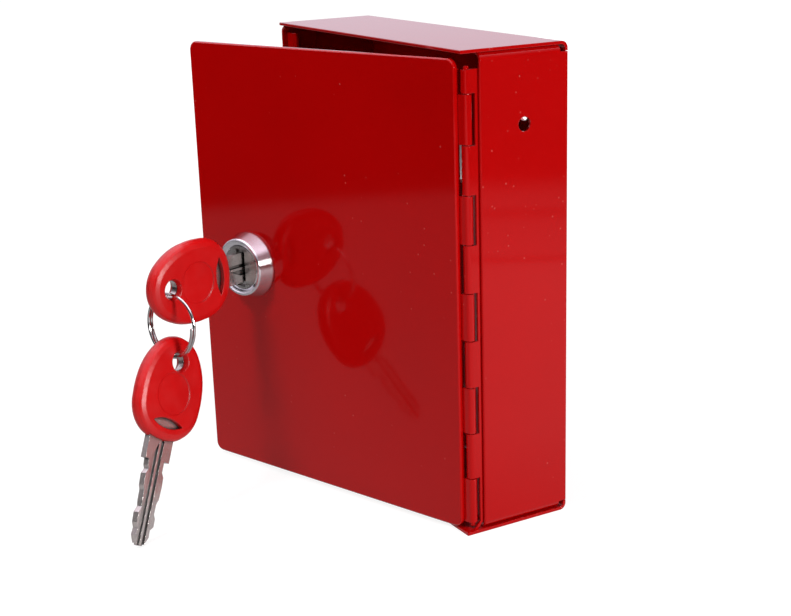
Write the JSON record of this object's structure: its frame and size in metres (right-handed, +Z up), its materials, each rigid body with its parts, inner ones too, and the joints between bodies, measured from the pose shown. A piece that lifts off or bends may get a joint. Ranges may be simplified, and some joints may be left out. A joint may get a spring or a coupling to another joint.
{
  "type": "emergency key box",
  "caption": "Shallow sheet-steel wall box for an emergency key: flat door on a piano hinge, cam lock with its key in it and a spare key hanging from a split ring.",
  "frame": {"origin": "centre of the back's outer face, which lies against the wall", "axes": "+Y into the wall, +X to the right seen from the front, +Z up"},
  "size_m": [0.12, 0.1308, 0.152],
  "materials": {
    "cabinet_paint": "glossy powder coat",
    "door_paint": "glossy powder coat",
    "head_plastic": "satin",
    "blade_nickel": "nickel plated",
    "bezel_chrome": "polished",
    "plug_zinc": "satin",
    "spring_wire": "polished wire",
    "wafer_brass": "punched",
    "plated_steel": "zinc plated"
  },
  "bodies": {
    "box": {"body_wrap": "cabinet_paint", "side_panel_right": "cabinet_paint", "side_panel_left": "cabinet_paint", "door_stop_strip": "cabinet_paint", "catch_plate": "cabinet_paint", "key_hook": "plated_steel", "hinge_leaf_box": "cabinet_paint", "hinge_pin": "cabinet_paint"},
    "door": {"door_panel": "door_paint", "hinge_leaf_door": "cabinet_paint", "lock_housing": "bezel_chrome", "lock_washer": "plated_steel", "lock_nut": "plated_steel"},
    "plug": {"lock_plug": "plug_zinc", "stop_washer": "plated_steel", "lock_cam": "plated_steel", "cam_washer": "plated_steel", "cam_screw": "plated_steel", "wafer_spring_1": "spring_wire", "wafer_spring_3": "spring_wire", "wafer_spring_5": "spring_wire", "wafer_spring_7": "spring_wire", "wafer_spring_2": "spring_wire", "wafer_spring_4": "spring_wire", "wafer_spring_6": "spring_wire"},
    "wafers_down": {"wafer_1": "wafer_brass", "wafer_3": "wafer_brass", "wafer_5": "wafer_brass", "wafer_7": "wafer_brass"},
    "wafers_up": {"wafer_2": "wafer_brass", "wafer_4": "wafer_brass", "wafer_6": "wafer_brass"},
    "key_1": {"key_1_blade": "blade_nickel", "key_1_head": "head_plastic"},
    "ring": {"split_ring": "spring_wire"},
    "key_2": {"key_2_blade": "blade_nickel", "key_2_head": "head_plastic"}
  },
  "joints": [
    {"name": "door_hinge", "type": "hinge", "parent": "box", "child": "door", "pos_m": [0.0574, -0.0345, 0], "axis": [0, 0, 1], "range_deg": [-20, 145]},
    {"name": "plug_turn", "type": "hinge", "parent": "door", "child": "plug", "pos_m": [-0.02733, -0.06864, -0.001], "axis": [0.342, -0.9397, 0], "range_deg": [-90, 0]},
    {"name": "key_1_slide", "type": "slide", "parent": "plug", "child": "key_1", "axis": [0.342, -0.9397, 0], "range_m": [0, 0.03]},
    {"name": "wafers_down_slide", "type": "slide", "parent": "plug", "child": "wafers_down", "axis": [0, 0, -1], "range_m": [0, 0.0008], "stiffness_N_per_m": 400, "springref_m": 0.0018, "deforming": ["wafer_spring_1", "wafer_spring_3", "wafer_spring_5", "wafer_spring_7"]},
    {"name": "wafers_up_slide", "type": "slide", "parent": "plug", "child": "wafers_up", "axis": [0, 0, 1], "range_m": [0, 0.0008], "stiffness_N_per_m": 300, "springref_m": 0.0018, "deforming": ["wafer_spring_2", "wafer_spring_4", "wafer_spring_6"]},
    {"name": "ring_swing", "type": "hinge", "parent": "key_1", "child": "ring", "pos_m": [-0.01451, -0.10388, -0.001], "axis": [0.9397, 0.342, 0], "range_deg": [-60, 10]},
    {"name": "key_2_swing", "type": "hinge", "parent": "ring", "child": "key_2", "pos_m": [-0.01105, -0.1047, -0.02474], "axis": [0.8983, 0.4022, 0.177], "range_deg": [-35, 40]}
  ],
  "couplings": [
    {"joint": "wafers_down_slide", "follows": "key_1_slide", "ratio": 0.026666},
    {"joint": "wafers_up_slide", "follows": "key_1_slide", "ratio": 0.026666}
  ]
}
